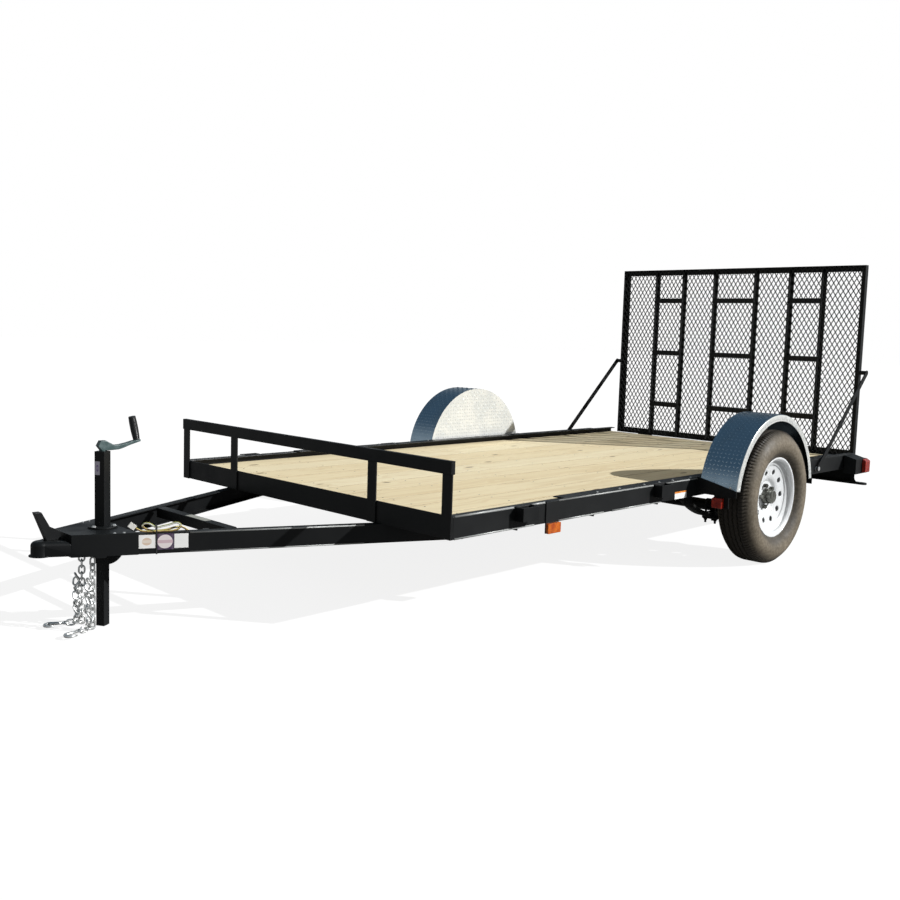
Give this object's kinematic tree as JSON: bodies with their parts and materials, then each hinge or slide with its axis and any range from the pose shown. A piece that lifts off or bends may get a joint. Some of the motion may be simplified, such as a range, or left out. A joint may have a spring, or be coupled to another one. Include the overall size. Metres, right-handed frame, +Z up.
{
  "type": "single-axle utility trailer with ramp gate",
  "caption": "Open utility trailer with plank deck, steel frame, A-frame tongue, ball coupler, jack, round fenders and a fold-down mesh ramp gate.",
  "frame": {"origin": "on the ground, under the middle of the whole length and width", "axes": "+X towards the coupler, +Y to the trailer's left, +Z up"},
  "size_m": [4.891, 2.35, 1.6402],
  "materials": {
    "black_paint": "gloss black enamel",
    "white_paint": "gloss white enamel",
    "treated_wood": "sawn pine, pressure treated",
    "tread_plate": "bright diamond tread plate",
    "tyre_rubber": "dusty ribbed rubber",
    "hub_iron": "grey casting",
    "spring_steel": "black dipped",
    "zinc_steel": "zinc plated",
    "red_lens": "clear red moulding",
    "amber_lens": "clear amber moulding",
    "cable_sheath": "soft sheath",
    "connector_white": "moulded",
    "black_plastic": "moulded"
  },
  "bodies": {
    "frame": {"rail_left": "black_paint", "rail_right": "black_paint", "rail_cap_left": "black_paint", "rail_cap_right": "black_paint", "front_member": "black_paint", "rear_member": "black_paint", "crossmembers": "black_paint", "deck_boards": "treated_wood", "front_posts": "black_paint", "front_rail": "black_paint", "tongue_beam_left": "black_paint", "tongue_beam_right": "black_paint", "tongue_crossbar": "black_paint", "coupler": "black_paint", "coupler_latch": "black_paint", "jack_tube": "black_paint", "jack_crank": "black_paint", "gate_hinges": "black_paint", "brace_pivots": "zinc_steel", "fender_left": "tread_plate", "fender_right": "tread_plate", "fender_brackets": "black_paint", "axle": "black_paint", "leaf_springs": "spring_steel", "spring_hangers": "black_paint", "tail_lamp_housings": "black_paint", "tail_lamp_lenses": "red_lens", "marker_plates": "black_paint", "amber_markers": "amber_lens", "red_markers": "red_lens", "stake_pockets": "black_paint", "safety_chains": "zinc_steel", "wiring_harness": "cable_sheath", "harness_connector": "connector_white", "harness_tie": "black_plastic", "harness_clip": "black_plastic"},
    "wheel_left": {"tyre_left": "tyre_rubber", "rim_left": "white_paint", "hub_left": "hub_iron"},
    "wheel_right": {"tyre_right": "tyre_rubber", "rim_right": "white_paint", "hub_right": "hub_iron"},
    "gate": {"gate_frame": "black_paint", "gate_rungs": "black_paint", "gate_mesh": "black_paint"},
    "brace_left": {"gate_brace_left": "black_paint"},
    "brace_right": {"gate_brace_right": "black_paint"},
    "jack_foot": {"jack_leg": "black_paint"}
  },
  "joints": [
    {"name": "wheel_left_spin", "type": "hinge", "parent": "frame", "child": "wheel_left", "pos_m": [-0.87748, 1.076, 0.344], "axis": [0, 1, 0], "continuous": true},
    {"name": "wheel_right_spin", "type": "hinge", "parent": "frame", "child": "wheel_right", "pos_m": [-0.87748, -1.076, 0.344], "axis": [0, 1, 0], "continuous": true},
    {"name": "gate_hinge", "type": "hinge", "parent": "frame", "child": "gate", "pos_m": [-2.3895, 0, 0.396], "axis": [0, -1, 0], "range_deg": [0, 105]},
    {"name": "brace_left_pivot", "type": "hinge", "parent": "frame", "child": "brace_left", "pos_m": [-1.7974, 0.953, 0.398], "axis": [0, 1, 0], "range_deg": [0, 104]},
    {"name": "brace_right_pivot", "type": "hinge", "parent": "frame", "child": "brace_right", "pos_m": [-1.7974, -0.953, 0.398], "axis": [0, 1, 0], "range_deg": [0, 104]},
    {"name": "jack_travel", "type": "slide", "parent": "frame", "child": "jack_foot", "axis": [0, 0, 1], "range_m": [0, 0.25]}
  ]
}
